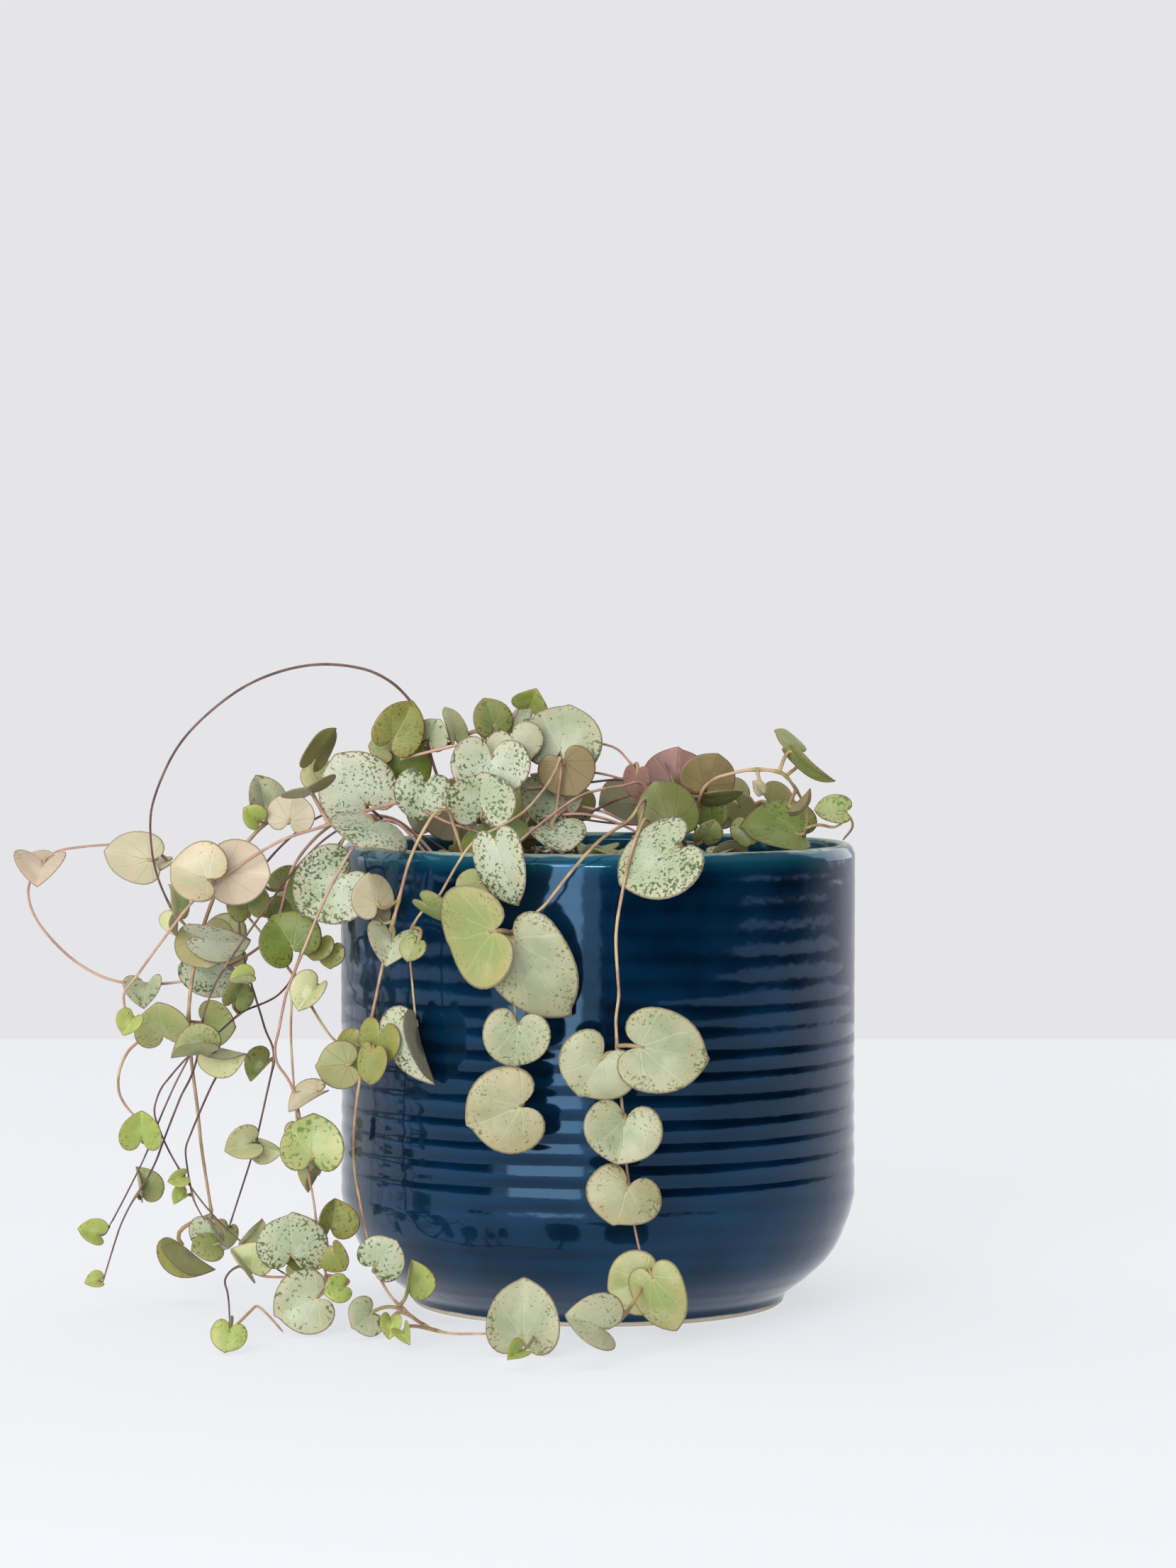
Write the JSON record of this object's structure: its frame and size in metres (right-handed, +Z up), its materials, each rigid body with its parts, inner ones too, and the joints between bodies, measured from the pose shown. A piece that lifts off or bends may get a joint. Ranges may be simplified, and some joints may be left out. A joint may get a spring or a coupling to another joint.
{
  "type": "string of hearts plant in a pot",
  "caption": "Trailing houseplant with thin stems and small heart-shaped silver-green leaves, standing in the soil of a round glazed pot.",
  "frame": {"origin": "middle of the pot's foot, on the surface it stands on", "axes": "+Z up; -Y towards the viewer of the picture; the plant trails to -X"},
  "size_m": [0.2124, 0.1931, 0.1616],
  "materials": {
    "glaze": "glossy deep blue glaze",
    "soil": "dark crumbly potting soil",
    "foliage": "succulent leaves, silver and green, on brown stems"
  },
  "bodies": {
    "root": {"pot": "glaze", "soil": "soil", "vine_arch": "foliage", "vine_far_loop": "foliage", "vine_low_left": "foliage", "vine_thick": "foliage", "vine_two_tails": "foliage", "vine_dark_long": "foliage", "vine_butterfly": "foliage", "vine_inner_left": "foliage", "vine_star": "foliage", "vine_front_long": "foliage", "vine_front_short": "foliage", "vine_over_rim": "foliage", "vine_front_pair": "foliage", "vine_front_tail": "foliage", "vine_right": "foliage", "vine_crown_left": "foliage", "vine_crown_high": "foliage", "vine_crown_middle": "foliage", "vine_crown_right": "foliage", "vine_crown_front": "foliage", "vine_behind_1": "foliage", "vine_behind_2": "foliage", "vine_behind_3": "foliage", "vine_behind_4": "foliage"}
  },
  "joints": []
}
